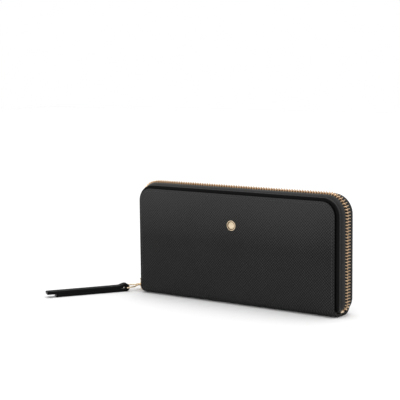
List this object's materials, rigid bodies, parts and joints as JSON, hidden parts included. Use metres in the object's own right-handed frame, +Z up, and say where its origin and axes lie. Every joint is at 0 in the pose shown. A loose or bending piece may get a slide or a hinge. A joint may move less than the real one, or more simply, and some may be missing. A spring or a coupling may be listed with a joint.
{
  "type": "long wallet",
  "caption": "Zip-around long wallet standing on its spine: two hinged covers, outer zip with a link and leather strap pull, zipped centre coin pocket, card pockets.",
  "frame": {"origin": "centre of the spine's flat underside, midway between the two faces", "axes": "+X along the length, towards the zip's fixed end; the front face with the stud looks to -Y; +Z up, from the spine to the top edge of the covers"},
  "size_m": [0.2626, 0.0904, 0.1003],
  "materials": {
    "outer_leather": "satin, cross-hatched grain",
    "welt_leather": "satin, smooth",
    "strap_leather": "satin",
    "gusset_leather": "satin",
    "pocket_leather": "satin",
    "board": "matt",
    "lining": "matt",
    "pocket_lining": "matt",
    "zip_tape": "matt",
    "zip_metal": "polished, pale gold",
    "gold_hardware": "polished, pale gold"
  },
  "bodies": {
    "spine": {"spine_leather": "outer_leather", "spine_lining": "lining", "coin_pocket_front": "pocket_lining", "coin_pocket_back": "pocket_lining", "coin_pocket_left_end": "pocket_lining", "coin_pocket_right_end": "pocket_lining", "coin_zip_tape_front": "zip_tape", "coin_zip_tape_back": "zip_tape", "coin_zip_teeth_front": "zip_metal", "coin_zip_teeth_back": "zip_metal", "coin_zip_stops": "zip_metal", "gusset_front_left": "gusset_leather", "gusset_front_right": "gusset_leather", "gusset_back_left": "gusset_leather", "gusset_back_right": "gusset_leather", "zip_end_tape": "zip_tape", "zip_start_tape": "zip_tape", "zip_end_teeth": "zip_metal", "zip_bottom_stop": "zip_metal", "zip_top_stops": "zip_metal"},
    "front_cover": {"front_leather": "outer_leather", "front_board": "board", "front_lining": "lining", "front_welt": "welt_leather", "front_zip_tape": "zip_tape", "front_zip_teeth": "zip_metal", "front_bill_panel": "pocket_leather", "front_card_pocket_1": "pocket_leather", "front_card_pocket_2": "pocket_leather", "front_card_pocket_3": "pocket_leather", "front_card_pocket_4": "pocket_leather", "stud_cap": "gold_hardware", "stud_washer": "gold_hardware"},
    "back_cover": {"back_leather": "outer_leather", "back_board": "board", "back_lining": "lining", "back_welt": "welt_leather", "back_zip_tape": "zip_tape", "back_zip_teeth": "zip_metal", "back_bill_panel": "pocket_leather", "back_card_pocket_1": "pocket_leather", "back_card_pocket_2": "pocket_leather", "back_card_pocket_3": "pocket_leather", "back_card_pocket_4": "pocket_leather"},
    "zip_slider": {"slider_body": "gold_hardware", "slider_bail": "gold_hardware"},
    "zip_link": {"pull_link": "gold_hardware"},
    "zip_strap": {"pull_strap": "strap_leather"},
    "coin_slider": {"coin_slider_body": "zip_metal", "coin_slider_bail": "zip_metal"},
    "coin_tab": {"coin_pull": "gold_hardware"}
  },
  "joints": [
    {"name": "front_cover_fold", "type": "hinge", "parent": "spine", "child": "front_cover", "pos_m": [0, -0.0135, 0.009], "axis": [1, 0, 0], "range_deg": [0, 38], "deforming": ["gusset_front_left", "gusset_front_right", "front_zip_tape"]},
    {"name": "back_cover_fold", "type": "hinge", "parent": "spine", "child": "back_cover", "pos_m": [0, 0.0135, 0.009], "axis": [1, 0, 0], "range_deg": [-38, 0], "deforming": ["gusset_back_left", "gusset_back_right", "back_zip_tape"]},
    {"name": "zip_run", "type": "slide", "parent": "spine", "child": "zip_slider", "axis": [0, 0, 1], "range_m": [0, 0.068], "deforming": ["front_zip_teeth", "back_zip_teeth"]},
    {"name": "link_swing", "type": "hinge", "parent": "zip_slider", "child": "zip_link", "pos_m": [-0.1082, 0, 0.0046], "axis": [0, 0, -1], "range_deg": [0, 132]},
    {"name": "strap_lift", "type": "hinge", "parent": "zip_link", "child": "zip_strap", "pos_m": [-0.1149, -0.01505, 0.0036], "axis": [-0.829, 0.5592, 0], "range_deg": [0, 100]},
    {"name": "coin_zip_run", "type": "slide", "parent": "spine", "child": "coin_slider", "axis": [1, 0, 0], "range_m": [0, 0.14], "deforming": ["coin_zip_teeth_front", "coin_zip_teeth_back"]},
    {"name": "coin_tab_lift", "type": "hinge", "parent": "coin_slider", "child": "coin_tab", "pos_m": [-0.08, 0, 0.0765], "axis": [0, -1, 0], "range_deg": [0, 150]}
  ],
  "couplings": [
    {"joint": "back_cover_fold", "follows": "front_cover_fold", "ratio": -1}
  ]
}
